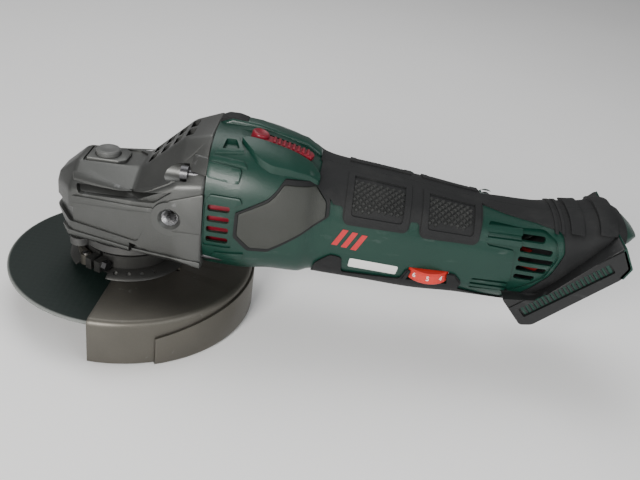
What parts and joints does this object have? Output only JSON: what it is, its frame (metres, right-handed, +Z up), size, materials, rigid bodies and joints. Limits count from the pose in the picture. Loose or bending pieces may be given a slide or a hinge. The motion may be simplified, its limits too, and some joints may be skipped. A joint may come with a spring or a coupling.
{
  "type": "angle grinder",
  "caption": "Cordless angle grinder with a side switch, speed dial, turning guard, geared disc spindle and a rear foot for a slide-on battery.",
  "frame": {"origin": "on the spindle axis at the cutting disc's mid-plane", "axes": "+X along the handle towards the battery foot, +Z up the spindle away from the disc, +Y to the tool's right"},
  "size_m": [0.3185, 0.133, 0.1105],
  "materials": {
    "housing_green": "moulded green plastic, fine satin texture",
    "soft_black": "matt soft overmould",
    "black_plastic": "moulded black plastic",
    "signal_red": "moulded red plastic",
    "die_cast": "die-cast aluminium with dark metallic lacquer",
    "cap_metal": "die-cast aluminium with dark lacquer",
    "guard_steel": "grey-brown satin lacquer on sheet steel",
    "steel": "turned and ground steel",
    "dark_steel": "blackened steel",
    "disc_bond": "dark green-black bonded abrasive with fine grain",
    "copper": "enamelled copper winding",
    "contact": "plated contact blades",
    "board": "laminate circuit board",
    "aluminium": "extruded aluminium",
    "lead_red": "lead insulation"
  },
  "bodies": {
    "housing": {"left_housing": "housing_green", "right_housing": "housing_green", "left_grip": "soft_black", "right_grip": "soft_black", "left_side_pad": "soft_black", "right_side_pad": "soft_black", "battery_foot": "black_plastic", "battery_terminals": "contact", "gear_case": "die_cast", "bearing_cap": "cap_metal", "cap_screws": "dark_steel", "gear_case_screws": "dark_steel", "housing_screws": "dark_steel", "motor_stator": "dark_steel", "stator_coils": "copper", "motor_end_plate": "black_plastic", "air_baffle": "signal_red", "controller_board": "board", "heat_sink": "aluminium", "micro_switch": "black_plastic", "dial_potentiometer": "black_plastic", "power_leads": "lead_red", "motor_leads": "black_plastic", "spindle_bearing_race": "steel", "spindle_bearing_balls": "steel", "spindle_sleeve": "steel", "rotor_bearing_races": "steel", "rotor_bearing_balls": "steel"},
    "drive_spindle": {"spindle": "steel", "spindle_inner_race": "steel", "crown_gear": "steel", "gear_clip": "dark_steel", "inner_flange": "dark_steel", "cutting_disc": "disc_bond", "flange_nut": "dark_steel"},
    "rotor": {"rotor_shaft": "steel", "rotor_core": "dark_steel", "rotor_magnets": "dark_steel", "rotor_inner_races": "steel", "cooling_fan": "black_plastic", "pinion_gear": "steel"},
    "spindle_lock": {"lock_button": "black_plastic", "lock_pin": "steel", "lock_spring": "steel"},
    "power_switch": {"switch_slider": "signal_red", "switch_link": "black_plastic", "switch_spring": "steel"},
    "dial": {"speed_dial": "signal_red"},
    "guard": {"guard_shell": "guard_steel", "guard_collar": "guard_steel", "cutting_cover": "guard_steel", "clamp_screw": "dark_steel", "lever_pin": "steel"},
    "lever": {"clamp_lever": "dark_steel"}
  },
  "joints": [
    {"name": "spindle_spin", "type": "hinge", "parent": "housing", "child": "drive_spindle", "pos_m": [0, 0, 0], "axis": [0, 0, 1], "continuous": true},
    {"name": "rotor_spin", "type": "hinge", "parent": "housing", "child": "rotor", "pos_m": [0, 0, 0.05], "axis": [1, 0, 0], "continuous": true},
    {"name": "lock_press", "type": "slide", "parent": "housing", "child": "spindle_lock", "axis": [0, 0, -1], "range_m": [0, 0.0045], "stiffness_N_per_m": 1500, "springref_m": -0.002, "deforming": ["lock_spring"]},
    {"name": "switch_slide", "type": "slide", "parent": "housing", "child": "power_switch", "axis": [-0.9724, 0, 0.2334], "range_m": [0, 0.005], "stiffness_N_per_m": 400, "springref_m": -0.003, "deforming": ["switch_spring"]},
    {"name": "dial_turn", "type": "hinge", "parent": "housing", "child": "dial", "pos_m": [0.156, -0.018, 0.029], "axis": [0, 0, 1], "range_deg": [-200, 30]},
    {"name": "guard_turn", "type": "hinge", "parent": "housing", "child": "guard", "pos_m": [0, 0, 0], "axis": [0, 0, 1], "range_deg": [-90, 90]},
    {"name": "lever_open", "type": "hinge", "parent": "guard", "child": "lever", "pos_m": [-0.0167, -0.0221, 0.0075], "axis": [0, 0, 1], "range_deg": [0, 60]}
  ],
  "couplings": [
    {"joint": "rotor_spin", "follows": "spindle_spin", "ratio": 3.3636}
  ]
}
